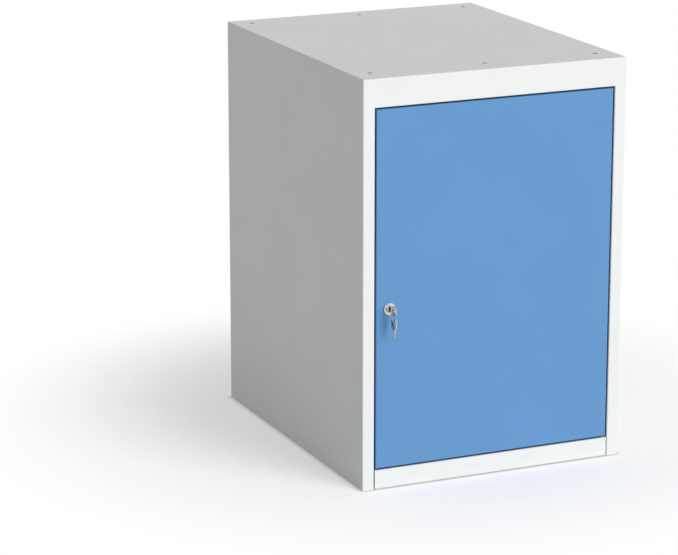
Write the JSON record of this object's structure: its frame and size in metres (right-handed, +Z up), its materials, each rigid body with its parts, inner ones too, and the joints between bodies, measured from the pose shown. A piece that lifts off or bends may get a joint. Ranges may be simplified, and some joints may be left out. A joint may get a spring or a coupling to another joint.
{
  "type": "storage cabinet",
  "caption": "Floor-standing welded sheet-steel storage cabinet for a workbench, with a flush hinged door, cam lock, keys, shelf and fixing holes in the top.",
  "frame": {"origin": "on the floor, under the middle of the carcass's width and depth", "axes": "+Z up, -Y out of the door's face, +X to the right seen from the front"},
  "size_m": [0.5, 0.6265, 0.72],
  "materials": {
    "body_paint": "light grey powder coat, fine texture, satin",
    "door_paint": "light blue powder coat, fine texture, satin",
    "zinc": "bright zinc plate",
    "nylon": "black nylon",
    "lock_chrome": "bright chrome plate",
    "key_nickel": "nickel plate",
    "ring_steel": "nickel-plated spring wire",
    "buffer_rubber": "black rubber"
  },
  "bodies": {
    "carcass": {"left_side": "body_paint", "right_side": "body_paint", "top_panel": "body_paint", "back_panel": "body_paint", "base_pan": "body_paint", "plinth": "body_paint", "shelf": "body_paint", "front_left_upright": "body_paint", "front_right_upright": "body_paint", "rear_left_upright": "body_paint", "rear_right_upright": "body_paint", "shelf_clips": "zinc", "lower_hinge_pin": "zinc", "upper_hinge_pin": "zinc", "door_buffers": "buffer_rubber"},
    "door": {"door_panel": "door_paint", "door_stiffener": "door_paint", "lower_hinge_plate": "door_paint", "upper_hinge_plate": "door_paint", "lower_hinge_bush": "nylon", "upper_hinge_bush": "nylon", "lock_housing": "lock_chrome", "lock_nut": "zinc"},
    "lock_core": {"lock_plug": "lock_chrome", "lock_cam": "zinc", "cam_washer": "zinc", "cam_screw": "zinc"},
    "key": {"key": "key_nickel"},
    "key_ring": {"key_ring": "ring_steel"},
    "spare_key": {"spare_key": "key_nickel"}
  },
  "joints": [
    {"name": "door_swing", "type": "hinge", "parent": "carcass", "child": "door", "pos_m": [0.215, -0.292, 0.352], "axis": [0, 0, 1], "range_deg": [0, 110]},
    {"name": "lock_turn", "type": "hinge", "parent": "door", "child": "lock_core", "pos_m": [-0.2, -0.3, 0.32], "axis": [0, 1, 0], "range_deg": [0, 90]},
    {"name": "key_pull", "type": "slide", "parent": "lock_core", "child": "key", "axis": [0, -1, 0], "range_m": [0, 0.03]},
    {"name": "ring_swing", "type": "hinge", "parent": "key", "child": "key_ring", "pos_m": [-0.2, -0.318, 0.3175], "axis": [0.7071, 0.7071, 0], "range_deg": [-45, 15]},
    {"name": "spare_key_swing", "type": "hinge", "parent": "key_ring", "child": "spare_key", "pos_m": [-0.2, -0.318, 0.3015], "axis": [0.7071, 0.7071, 0], "range_deg": [-40, 10]}
  ]
}
